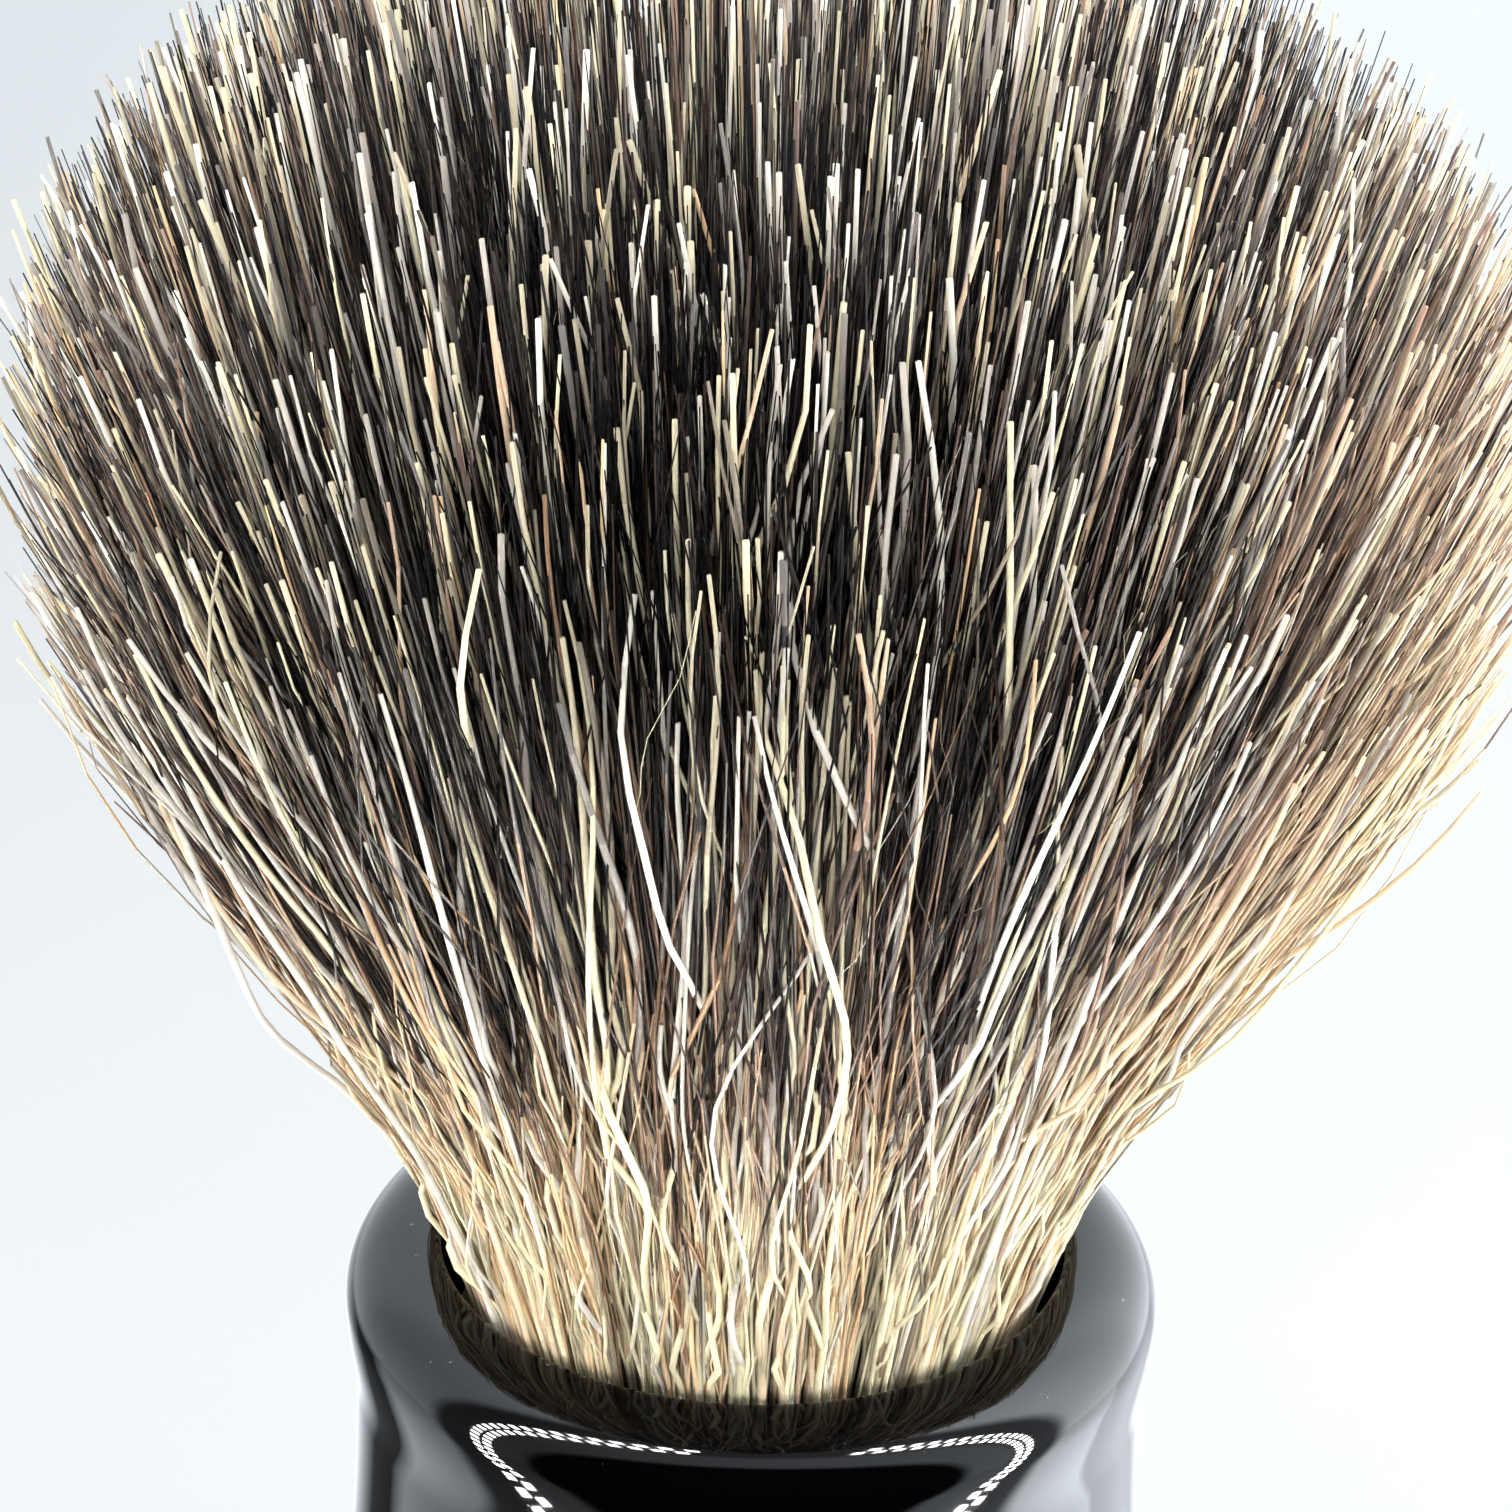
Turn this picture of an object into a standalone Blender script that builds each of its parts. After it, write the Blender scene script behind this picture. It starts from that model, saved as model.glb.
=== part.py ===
"""A shaving brush: a turned resin handle, a fan-shaped knot of badger hair, and what holds the knot.

Metres, +Z up. The origin is the centre of the foot's flat face. The hair is split into locks, each a
bundle of some hundreds of hairs: one core, a ring of inner locks and a ring of outer locks, which all
stand in the handle's blind socket and spread into a dome.
"""

import math

import bmesh
import bpy
from mathutils import Vector

GAP = 0.0003  # clearance between neighbouring solids

# Handle
HANDLE_HEIGHT = 0.054
COLLAR_RADIUS = 0.014
COLLAR_DROP = 0.0023  # from the top rim down to the collar's widest level
COLLAR_TAIL = 0.0033  # from there down to the neck
NECK_RADIUS = 0.0137
BELLY_RADIUS = 0.0156
BELLY_LEVEL = 0.0215
FOOT_RADIUS = 0.0147
FOOT_ROUNDING = 0.0016
SOCKET_RADIUS = 0.0107
SOCKET_DEPTH = 0.014
RIM_ROUNDING = 0.0004
TURNED_STEPS = 40

# What holds the knot in the socket
ADHESIVE_FLOOR = 0.001
ADHESIVE_WALL = 0.0005
ADHESIVE_HEIGHT = 0.0057
PLUG_HEIGHT = 0.005
PLUG_CHAMFER = 0.0004
THREAD_RADIUS = 0.00025
THREAD_PITCH = 0.00062
THREAD_TURNS = 5
THREAD_POINTS_PER_TURN = 18

# Hair
LOFT = 0.045  # height of the hair above the handle's rim
ROOT_RADIUS = 0.0094  # where the thread binds the hair
BLOOM_RADIUS = 0.0238  # widest radius of the fan
BLOOM_LEVEL = 0.028  # height of that radius above the rim
DOME_SQUARENESS = 2.7  # 2 for an ellipse, more for a flatter crown and squarer shoulders
EDGE_POLAR_ANGLE = math.radians(97)  # how far down the dome the outermost tips sit
EDGE_ROOT_LEAN = math.radians(20)  # lean of the outermost hair where it leaves the rim
EDGE_TIP_LEAN = math.radians(22)
CORE_SHARE = 0.42  # share of the knot's radius that the core takes
INNER_SHARE = 0.78
INNER_LOCKS = 8
OUTER_LOCKS = 16
ROOT_FRACTION = 0.15  # part of a hair's run that is inside the socket
SPREAD_LEVELS = 8  # sections along the spread part of a lock
LOCK_ROUNDNESS = 0.35  # how far a lock's corners are drawn in, 0 for square corners
TIP_ROUNDNESS = 0.012  # share of a lock's length by which its tip's corners fall short

SOCKET_FLOOR = HANDLE_HEIGHT - SOCKET_DEPTH
PLUG_RADIUS = SOCKET_RADIUS - 2 * GAP - ADHESIVE_WALL
PLUG_BOTTOM = SOCKET_FLOOR + 2 * GAP + ADHESIVE_FLOOR
HAIR_BOTTOM = PLUG_BOTTOM + PLUG_HEIGHT + GAP
THREAD_BOTTOM = HAIR_BOTTOM + 0.0005
THREAD_TOP = THREAD_BOTTOM + THREAD_TURNS * THREAD_PITCH


def clear_scene():
    for old in list(bpy.data.objects):
        bpy.data.objects.remove(old, do_unlink=True)


def material(name, colour, roughness, metallic=0.0):
    made = bpy.data.materials.new(name)
    made.use_nodes = True
    shader = made.node_tree.nodes["Principled BSDF"]
    shader.inputs["Base Color"].default_value = (*colour, 1.0)
    shader.inputs["Roughness"].default_value = roughness
    shader.inputs["Metallic"].default_value = metallic
    return made


def place(name, mesh, finish, collection):
    made = bpy.data.objects.new(name, mesh)
    made.data.materials.append(finish)
    collection.objects.link(made)
    return made


def shade(mesh, sharp_angle=40):
    mesh.shade_smooth()
    mesh.set_sharp_from_angle(angle=math.radians(sharp_angle))


def turned(name, profile, finish, collection, steps=TURNED_STEPS):
    """A solid of revolution about Z from (radius, height) points that end on the axis."""
    mesh = bpy.data.meshes.new(name)
    points = [(radius, 0.0, height) for radius, height in profile]
    mesh.from_pydata(points, [(i, i + 1) for i in range(len(points) - 1)], [])
    made = place(name, mesh, finish, collection)
    screw = made.modifiers.new("Turn", "SCREW")
    screw.axis = "Z"
    screw.steps = steps
    screw.render_steps = steps
    screw.use_merge_vertices = True
    screw.merge_threshold = 0.00001
    screw.use_smooth_shade = True
    return made


def arc(centre, radii, start, end, count):
    """Points on an elliptical arc in the (radius, height) plane, from start to end in degrees."""
    points = []
    for i in range(count + 1):
        angle = math.radians(start + (end - start) * i / count)
        points.append((centre[0] + radii[0] * math.cos(angle), centre[1] + radii[1] * math.sin(angle)))
    return points


def eased(start, end, count):
    """Points from start to end, both (radius, height), that leave and arrive parallel to the axis."""
    points = []
    for i in range(1, count + 1):
        share = i / count
        blend = (1 - math.cos(math.pi * share)) / 2
        points.append((start[0] + (end[0] - start[0]) * blend, start[1] + (end[1] - start[1]) * share))
    return points


def handle_profile():
    collar_level = HANDLE_HEIGHT - COLLAR_DROP
    lip = SOCKET_RADIUS + RIM_ROUNDING
    profile = [(0.0, SOCKET_FLOOR), (SOCKET_RADIUS, SOCKET_FLOOR)]
    profile += arc((lip, HANDLE_HEIGHT - RIM_ROUNDING), (RIM_ROUNDING, RIM_ROUNDING), 180, 90, 3)
    profile += arc((lip, collar_level), (COLLAR_RADIUS - lip, COLLAR_DROP), 90, 0, 9)[1:]
    profile += eased((COLLAR_RADIUS, collar_level), (NECK_RADIUS, collar_level - COLLAR_TAIL), 5)
    profile += eased(profile[-1], (BELLY_RADIUS, BELLY_LEVEL), 9)
    profile += eased(profile[-1], (FOOT_RADIUS, FOOT_ROUNDING), 6)
    profile += arc((FOOT_RADIUS - FOOT_ROUNDING, FOOT_ROUNDING), (FOOT_ROUNDING, FOOT_ROUNDING), 0, -90, 4)[1:]
    return profile + [(0.0, 0.0)]


def adhesive_profile():
    """A shallow cup round the plug, filling the joint between the plug and the socket."""
    bottom = SOCKET_FLOOR + GAP
    outer = SOCKET_RADIUS - GAP
    inner = outer - ADHESIVE_WALL
    top = bottom + ADHESIVE_HEIGHT
    floor = bottom + ADHESIVE_FLOOR
    return [(0.0, floor), (inner, floor), (inner, top), (outer, top), (outer, bottom), (0.0, bottom)]


def plug_profile():
    top = PLUG_BOTTOM + PLUG_HEIGHT
    chamfered = PLUG_RADIUS - PLUG_CHAMFER
    return [
        (0.0, top),
        (chamfered, top),
        (PLUG_RADIUS, top - PLUG_CHAMFER),
        (PLUG_RADIUS, PLUG_BOTTOM + PLUG_CHAMFER),
        (chamfered, PLUG_BOTTOM),
        (0.0, PLUG_BOTTOM),
    ]


def binding_thread(finish, collection):
    """Cord wound round the hair just above the plug, one helix with filled ends."""
    line = bpy.data.curves.new("binding_thread", "CURVE")
    line.dimensions = "3D"
    line.bevel_depth = THREAD_RADIUS
    line.bevel_resolution = 2
    line.use_fill_caps = True
    spline = line.splines.new("POLY")
    count = THREAD_TURNS * THREAD_POINTS_PER_TURN
    spline.points.add(count)
    radius = (ROOT_RADIUS + SOCKET_RADIUS) / 2
    for i in range(count + 1):
        angle = 2 * math.pi * i / THREAD_POINTS_PER_TURN
        height = THREAD_BOTTOM + THREAD_PITCH * i / THREAD_POINTS_PER_TURN
        spline.points[i].co = (radius * math.cos(angle), radius * math.sin(angle), height, 1.0)
    return place("binding_thread", line, finish, collection)


def bezier(points, share):
    a, b, c, d = points
    rest = 1 - share
    return a * rest**3 + b * 3 * rest**2 * share + c * 3 * rest * share**2 + d * share**3


def dome_point(polar):
    """Radius and height of the dome that the tips make, a superellipse, at an angle from the crown."""
    rise = (1 - math.sin(polar) ** DOME_SQUARENESS) ** (1 / DOME_SQUARENESS)
    height = math.copysign((LOFT - BLOOM_LEVEL) * rise, math.cos(polar))
    return Vector((BLOOM_RADIUS * math.sin(polar), HANDLE_HEIGHT + BLOOM_LEVEL + height))


def fan_point(share, run):
    """Radius and height of a hair in the knot.

    share is its place between the knot's axis (0) and its outside (1), run goes from root (0) to tip (1).
    """
    rim = Vector((share * (SOCKET_RADIUS - GAP), HANDLE_HEIGHT))
    if run < ROOT_FRACTION:
        height = HAIR_BOTTOM + (HANDLE_HEIGHT - HAIR_BOTTOM) * run / ROOT_FRACTION
        bound = share * ROOT_RADIUS
        if height <= THREAD_TOP:
            return Vector((bound, height))
        rise = (height - THREAD_TOP) / (HANDLE_HEIGHT - THREAD_TOP)
        return Vector((bound + (rim.x - bound) * rise, height))
    tip = dome_point(share * EDGE_POLAR_ANGLE)
    reach = (tip - rim).length / 3
    root_lean = share * EDGE_ROOT_LEAN
    tip_lean = share * EDGE_TIP_LEAN
    leaving = rim + reach * Vector((math.sin(root_lean), math.cos(root_lean)))
    arriving = tip - reach * Vector((math.sin(tip_lean), math.cos(tip_lean)))
    return bezier((rim, leaving, arriving, tip), (run - ROOT_FRACTION) / (1 - ROOT_FRACTION))


def section_levels():
    """Where a lock has a section between its root and its tip."""
    bound = ROOT_FRACTION * (THREAD_TOP - HAIR_BOTTOM) / (HANDLE_HEIGHT - HAIR_BOTTOM)
    spread = [ROOT_FRACTION + (1 - ROOT_FRACTION) * i / SPREAD_LEVELS for i in range(SPREAD_LEVELS)]
    return [bound, *spread]


def hair_lock(name, shares, angles, cells, finish, collection):
    """One lock: a cube, cut into cells, bent into the stretch of the fan between shares and angles."""
    form = bmesh.new()
    bmesh.ops.create_cube(form, size=2.0)
    cuts = [(Vector((2 * i / cells[0] - 1, 0, 0)), Vector((1, 0, 0))) for i in range(1, cells[0])]
    cuts += [(Vector((0, 2 * i / cells[1] - 1, 0)), Vector((0, 1, 0))) for i in range(1, cells[1])]
    cuts += [(Vector((0, 0, 2 * level - 1)), Vector((0, 0, 1))) for level in section_levels()]
    for point, normal in cuts:
        everything = form.verts[:] + form.edges[:] + form.faces[:]
        bmesh.ops.bisect_plane(form, geom=everything, plane_co=point, plane_no=normal, dist=1e-6)
    for vert in form.verts:
        across, along, up = vert.co.x, vert.co.y, (vert.co.z + 1) / 2
        radial = across * math.sqrt(1 - LOCK_ROUNDNESS * along**2 / 2)
        turning = along * math.sqrt(1 - LOCK_ROUNDNESS * across**2 / 2)
        share = (shares[0] + shares[1]) / 2 + radial * (shares[1] - shares[0]) / 2
        angle = (angles[0] + angles[1]) / 2 + turning * (angles[1] - angles[0]) / 2
        run = up - TIP_ROUNDNESS * (across**2 + along**2) * up**8
        radius, height = fan_point(share, run)
        inset = -radial * GAP / 2 if shares[1] < 1 or radial < 0 else 0.0
        outward = Vector((math.cos(angle), math.sin(angle), 0.0))
        sideways = Vector((-outward.y, outward.x, 0.0))
        vert.co = outward * (radius + inset) - sideways * turning * GAP / 2 + Vector((0, 0, height))
    mesh = bpy.data.meshes.new(name)
    form.to_mesh(mesh)
    form.free()
    shade(mesh)
    return place(name, mesh, finish, collection)


def hair_core(finish, collection):
    """The middle of the knot, turned, with the crown of the dome on top."""
    crown = [fan_point(CORE_SHARE * i / 4, 1.0) for i in range(5)]
    side = [fan_point(CORE_SHARE, level) for level in reversed(section_levels())]
    foot = fan_point(CORE_SHARE, 0.0)
    profile = [(max(0.0, radius - GAP / 2), height) for radius, height in crown + side + [foot]]
    return turned("hair_core", profile + [(0.0, HAIR_BOTTOM)], finish, collection, 24)


def ring_of_locks(label, count, shares, cells, finish, collection):
    step = 2 * math.pi / count
    for i in range(count):
        angles = (step * (i - 0.5), step * (i + 0.5))
        hair_lock(f"{label}_{i + 1:02d}", shares, angles, cells, finish, collection)


def build():
    clear_scene()
    parts = bpy.data.collections.new("shaving_brush")
    bpy.context.scene.collection.children.link(parts)

    resin = material("black_resin", (0.006, 0.006, 0.008), 0.05)
    adhesive = material("clear_adhesive", (0.55, 0.42, 0.22), 0.35)
    casting = material("plug_resin", (0.32, 0.20, 0.09), 0.45)
    thread = material("waxed_thread", (0.72, 0.66, 0.52), 0.8)
    dark_hair = material("dark_hair", (0.09, 0.065, 0.045), 0.6)
    banded_hair = material("banded_hair", (0.24, 0.19, 0.13), 0.6)
    pale_hair = material("pale_hair", (0.62, 0.53, 0.37), 0.6)

    turned("handle", handle_profile(), resin, parts)
    turned("socket_adhesive", adhesive_profile(), adhesive, parts, 32)
    turned("knot_plug", plug_profile(), casting, parts, 32)
    binding_thread(thread, parts)
    hair_core(dark_hair, parts)
    ring_of_locks("hair_inner", INNER_LOCKS, (CORE_SHARE, INNER_SHARE), (2, 4), banded_hair, parts)
    ring_of_locks("hair_outer", OUTER_LOCKS, (INNER_SHARE, 1.0), (2, 3), pale_hair, parts)


build()
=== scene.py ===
"""Looks of the shaving brush: a polished black handle and a knot of badger hair, made hair by hair."""

import math

import bpy
import numpy as np
from mathutils import Matrix, Vector


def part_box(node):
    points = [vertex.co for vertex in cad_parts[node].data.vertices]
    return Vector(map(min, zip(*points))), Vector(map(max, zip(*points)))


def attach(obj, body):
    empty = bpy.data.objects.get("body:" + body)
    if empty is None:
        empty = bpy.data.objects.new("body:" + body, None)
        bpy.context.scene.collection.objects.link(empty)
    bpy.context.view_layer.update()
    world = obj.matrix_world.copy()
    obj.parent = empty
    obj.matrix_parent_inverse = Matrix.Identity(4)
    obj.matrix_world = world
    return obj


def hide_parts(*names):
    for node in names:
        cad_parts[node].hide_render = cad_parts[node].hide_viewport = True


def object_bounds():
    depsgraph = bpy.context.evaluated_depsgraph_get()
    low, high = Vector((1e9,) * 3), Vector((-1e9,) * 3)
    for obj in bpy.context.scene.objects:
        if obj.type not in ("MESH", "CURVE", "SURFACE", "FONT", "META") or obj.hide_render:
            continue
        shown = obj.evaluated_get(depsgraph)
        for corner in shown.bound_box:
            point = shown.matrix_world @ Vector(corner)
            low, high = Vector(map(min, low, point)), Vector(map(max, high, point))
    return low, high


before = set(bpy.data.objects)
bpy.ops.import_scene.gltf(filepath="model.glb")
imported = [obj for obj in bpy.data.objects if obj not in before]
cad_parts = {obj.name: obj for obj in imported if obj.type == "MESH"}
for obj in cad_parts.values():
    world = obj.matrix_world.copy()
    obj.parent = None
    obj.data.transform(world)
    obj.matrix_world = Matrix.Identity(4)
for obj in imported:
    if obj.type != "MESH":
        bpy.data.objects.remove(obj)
cad_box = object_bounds()

MM = 0.001
GAP = 0.3 * MM
rng = np.random.default_rng(11)


# ---------------------------------------------------------------- sizes, from the frame

HANDLE_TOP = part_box("handle")[1].z
SOCKET_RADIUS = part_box("socket_adhesive")[1].x + GAP
HAIR_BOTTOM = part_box("hair_core")[0].z
THREAD_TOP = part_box("binding_thread")[1].z
LOFT = cad_box[1].z - HANDLE_TOP  # height of the hair above the handle's rim
ROOT_RADIUS = 9.4 * MM  # where the thread binds the hair
BLOOM_RADIUS = 23.8 * MM  # widest radius of the fan
BLOOM_LEVEL = 28 * MM  # height of that radius above the rim
DOME_SQUARENESS = 2.7  # 2 for an ellipse, more for a flatter crown and squarer shoulders
EDGE_POLAR_ANGLE = math.radians(97)  # how far down the dome the outermost tips sit
EDGE_ROOT_LEAN = math.radians(18)  # lean of the outermost hair at the rim
EDGE_TIP_LEAN = math.radians(25)  # and at its tip
ROOT_FRACTION = 0.15  # part of a hair's run that is inside the socket
CORE_SHARE = 0.42  # share of the knot's radius that the core takes
INNER_SHARE = 0.78
INNER_LOCKS = 8
OUTER_LOCKS = 16
FRONT_PINCH = 0.16  # how far the fan's front is drawn in, as a share of its radius
FRONT_RISE = 6.5 * MM  # how much higher the outermost tips are there


# ---------------------------------------------------------------- materials

def new_material(name):
    made = bpy.data.materials.new(name)
    made.use_nodes = True
    return made, made.node_tree, made.node_tree.nodes["Principled BSDF"]


def map_range(tree, value, source, target):
    node = tree.nodes.new("ShaderNodeMapRange")
    for socket, number in zip(("From Min", "From Max", "To Min", "To Max"), (*source, *target)):
        node.inputs[socket].default_value = number
    tree.links.new(value, node.inputs["Value"])
    return node.outputs["Result"]


def noise(tree, scale, detail, stretch=None):
    coords = tree.nodes.new("ShaderNodeTexCoord")
    made = tree.nodes.new("ShaderNodeTexNoise")
    made.inputs["Scale"].default_value = scale
    made.inputs["Detail"].default_value = detail
    vector = coords.outputs["Object"]
    if stretch:
        mapping = tree.nodes.new("ShaderNodeMapping")
        mapping.inputs["Scale"].default_value = stretch
        tree.links.new(vector, mapping.inputs["Vector"])
        vector = mapping.outputs["Vector"]
    tree.links.new(vector, made.inputs["Vector"])
    return made.outputs["Fac"]


def mix_colours(tree, factor, first, second):
    mix = tree.nodes.new("ShaderNodeMix")
    mix.data_type = "RGBA"
    mix.inputs["A"].default_value = (*first, 1)
    mix.inputs["B"].default_value = (*second, 1)
    tree.links.new(factor, mix.inputs["Factor"])
    return mix.outputs["Result"]


RESIN_BLACK = (0.0004, 0.0005, 0.0008)
DUST_GREY = (0.5, 0.5, 0.48)


def polished_resin():
    """Black resin polished to a mirror, with a faint haze and a little dust."""
    made, tree, shader = new_material("polished_black_resin")
    shader.inputs["IOR"].default_value = 1.26
    dust = map_range(tree, noise(tree, 2600, 2), (0.77, 0.8), (0, 0.4))
    colour = mix_colours(tree, dust, RESIN_BLACK, DUST_GREY)
    tree.links.new(colour, shader.inputs["Base Color"])
    haze = map_range(tree, noise(tree, 220, 6), (0.35, 0.75), (0.02, 0.06))
    tree.links.new(haze, shader.inputs["Roughness"])
    return made


HAIR_LEVELS = 16
DARK_LEVELS = 5  # the darkest shades, which shine the least
DARKEST_HAIR = 0.002
PALEST_HAIR = 0.85
DISPLAY_GAMMA = 2.2
HAIR_HUES = {  # tints of a dark, a middle and a pale shade
    "neutral": ((1.02, 1.0, 1.12), (1.1, 1.0, 0.92), (1.02, 1.0, 0.9)),
    "cream": ((1.08, 1.0, 1.0), (1.14, 1.0, 0.76), (1.05, 1.0, 0.69)),
    "warm": ((1.22, 0.98, 1.0), (1.48, 0.97, 0.72), (1.13, 0.99, 0.69)),
    "amber": ((1.4, 0.95, 0.8), (1.5, 0.93, 0.56), (1.22, 0.97, 0.6)),
}
WARM = list(HAIR_HUES).index("warm")
AMBER = list(HAIR_HUES).index("amber")


def hair_materials():
    """Shades from near black to ivory in even steps to the eye, for each hue of hair."""
    made = []
    low = DARKEST_HAIR ** (1 / DISPLAY_GAMMA)
    high = PALEST_HAIR ** (1 / DISPLAY_GAMMA)
    for hue, (dark_tint, middle_tint, pale_tint) in HAIR_HUES.items():
        for level in range(HAIR_LEVELS):
            pale = level / (HAIR_LEVELS - 1)
            value = (low + (high - low) * pale) ** DISPLAY_GAMMA
            stops = zip(dark_tint, middle_tint, pale_tint)
            tint = [np.interp(pale, (0, 0.5, 1), channel) for channel in stops]
            shade, tree, shader = new_material(f"hair_{hue}_{level:02d}")
            shader.inputs["Base Color"].default_value = (*[min(value * t, 0.95) for t in tint], 1)
            shader.inputs["Roughness"].default_value = 0.3
            shader.inputs["IOR"].default_value = 1.45
            shader.inputs["Specular IOR Level"].default_value = 0.02 if level < DARK_LEVELS else 0.1
            made.append(shade)
    return made


# ---------------------------------------------------------------- handle

SOCKET_DEPTH = 14 * MM
SOCKET_STEP = 5 * MM  # a ring of points on the socket's wall, this far down
RIM_ROUNDING = 0.4 * MM
COLLAR_RADIUS = 14 * MM
COLLAR_DROP = 2.3 * MM  # from the rim down to the collar's widest level
COLLAR_TAIL = 3.3 * MM  # from there down to the neck
NECK_RADIUS = 13.7 * MM
BELLY_RADIUS = 15.6 * MM
BELLY_LEVEL = 21.5 * MM
FOOT_RADIUS = 14.7 * MM
FOOT_ROUNDING = 1.6 * MM
FOOT_FLAT_RADIUS = 12.4 * MM


def arc(centre, radii, start, end, count):
    """Points on part of an ellipse, from one angle in degrees to another."""
    angles = np.radians(np.linspace(start, end, count + 1))
    return [(centre[0] + radii[0] * math.cos(a), centre[1] + radii[1] * math.sin(a)) for a in angles]


def eased(start, end, count):
    """Points on an S-shaped curve from start to end, without start."""
    points = []
    for i in range(1, count + 1):
        share = i / count
        blend = (1 - math.cos(math.pi * share)) / 2
        points.append((start[0] + (end[0] - start[0]) * blend, start[1] + (end[1] - start[1]) * share))
    return points


def handle_profile():
    """(radius, height) points from the socket's floor, over the rim and down the outside to the foot."""
    top, socket = HANDLE_TOP, SOCKET_RADIUS
    collar_level = top - COLLAR_DROP
    neck_level = collar_level - COLLAR_TAIL
    lip = socket + RIM_ROUNDING
    foot_edge = (FOOT_RADIUS - FOOT_ROUNDING, FOOT_ROUNDING)
    profile = [(0.0, top - SOCKET_DEPTH), (socket, top - SOCKET_DEPTH), (socket, top - SOCKET_STEP)]
    profile += arc((lip, top - RIM_ROUNDING), (RIM_ROUNDING, RIM_ROUNDING), 180, 90, 8)
    profile += arc((lip, collar_level), (COLLAR_RADIUS - lip, COLLAR_DROP), 90, 0, 28)[1:]
    profile += eased((COLLAR_RADIUS, collar_level), (NECK_RADIUS, neck_level), 16)
    profile += eased(profile[-1], (BELLY_RADIUS, BELLY_LEVEL), 28)
    profile += eased(profile[-1], (FOOT_RADIUS, FOOT_ROUNDING), 20)
    profile += arc(foot_edge, (FOOT_ROUNDING, FOOT_ROUNDING), 0, -90, 10)[1:]
    return profile + [(FOOT_FLAT_RADIUS, 0.0), (0.0, 0.0)]


def turned(name, profile, steps):
    """A body turned round Z from its profile."""
    mesh = bpy.data.meshes.new(name)
    edges = [(i, i + 1) for i in range(len(profile) - 1)]
    mesh.from_pydata([(r, 0, z) for r, z in profile], edges, [])
    made = bpy.data.objects.new(name, mesh)
    bpy.context.scene.collection.objects.link(made)
    screw = made.modifiers.new("Turn", "SCREW")
    screw.steps = steps
    screw.render_steps = steps
    screw.use_merge_vertices = True
    screw.merge_threshold = 0.005 * MM
    screw.use_smooth_shade = True
    return made


def add_handle():
    body = turned("polished_handle", handle_profile(), 160)
    body.data.materials.append(polished_resin())
    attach(body, "root")
    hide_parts("handle")


# ---------------------------------------------------------------- inside the socket

def add_bump(tree, shader, height, distance):
    bump = tree.nodes.new("ShaderNodeBump")
    bump.inputs["Strength"].default_value = 0.6
    bump.inputs["Distance"].default_value = distance
    tree.links.new(height, bump.inputs["Height"])
    tree.links.new(bump.outputs["Normal"], shader.inputs["Normal"])


def set_adhesive():
    """Amber epoxy with streaks and small bubbles."""
    made, tree, shader = new_material("set_epoxy")
    streaks = noise(tree, 180, 4, (1, 1, 0.4))
    colour = mix_colours(tree, streaks, (0.46, 0.31, 0.13), (0.64, 0.52, 0.3))
    tree.links.new(colour, shader.inputs["Base Color"])
    tree.links.new(map_range(tree, streaks, (0.3, 0.7), (0.12, 0.3)), shader.inputs["Roughness"])
    bubbles = map_range(tree, noise(tree, 1500, 2), (0.6, 0.7), (1, 0))
    add_bump(tree, shader, bubbles, 0.1 * MM)
    return made


def plug_resin():
    """Brown casting resin, clouded and matt."""
    made, tree, shader = new_material("brown_casting_resin")
    clouds = noise(tree, 260, 6)
    colour = mix_colours(tree, clouds, (0.25, 0.15, 0.065), (0.39, 0.26, 0.125))
    tree.links.new(colour, shader.inputs["Base Color"])
    tree.links.new(map_range(tree, clouds, (0.3, 0.7), (0.45, 0.7)), shader.inputs["Roughness"])
    add_bump(tree, shader, noise(tree, 1200, 3), 0.05 * MM)
    return made


THREAD_PLY = 0.4 * MM


def waxed_thread():
    """Cream thread, with fine bands like the plies of a twisted cord, painted darker in the grooves between
    the plies as shade.
    """
    made, tree, shader = new_material("waxed_thread")
    plies = tree.nodes.new("ShaderNodeTexWave")
    plies.bands_direction = "Z"
    waves_per_scale = 20 / (2 * math.pi)
    plies.inputs["Scale"].default_value = 1 / (waves_per_scale * THREAD_PLY)
    coords = tree.nodes.new("ShaderNodeTexCoord")
    tree.links.new(coords.outputs["Object"], plies.inputs["Vector"])
    height = plies.outputs["Fac"]
    # painted shade: the colour follows the ply bands and is darker in the grooves between them
    colour = mix_colours(tree, height, (0.42, 0.36, 0.26), (0.78, 0.72, 0.58))
    tree.links.new(colour, shader.inputs["Base Color"])
    fuzz = map_range(tree, noise(tree, 2200, 3), (0.3, 0.7), (0.35, 0.6))
    tree.links.new(fuzz, shader.inputs["Roughness"])
    add_bump(tree, shader, height, 0.15 * MM)
    return made


def finish_inner_parts():
    """Materials for the solids that stay as they are in the frame, all hidden in the socket."""
    finishes = {
        "socket_adhesive": ("clear_adhesive", set_adhesive),
        "knot_plug": ("plug_resin", plug_resin),
        "binding_thread": ("waxed_thread", waxed_thread),
    }
    for node, (slot, finish) in finishes.items():
        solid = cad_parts[node]
        solid.data.materials.clear()
        solid.data.materials.append(finish())


# ---------------------------------------------------------------- the fan that the hair fills

def ease(x):
    """A smooth step from 0 to 1 as x goes from 0 to 1."""
    x = np.clip(x, 0, 1)
    return x * x * (3 - 2 * x)


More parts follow.
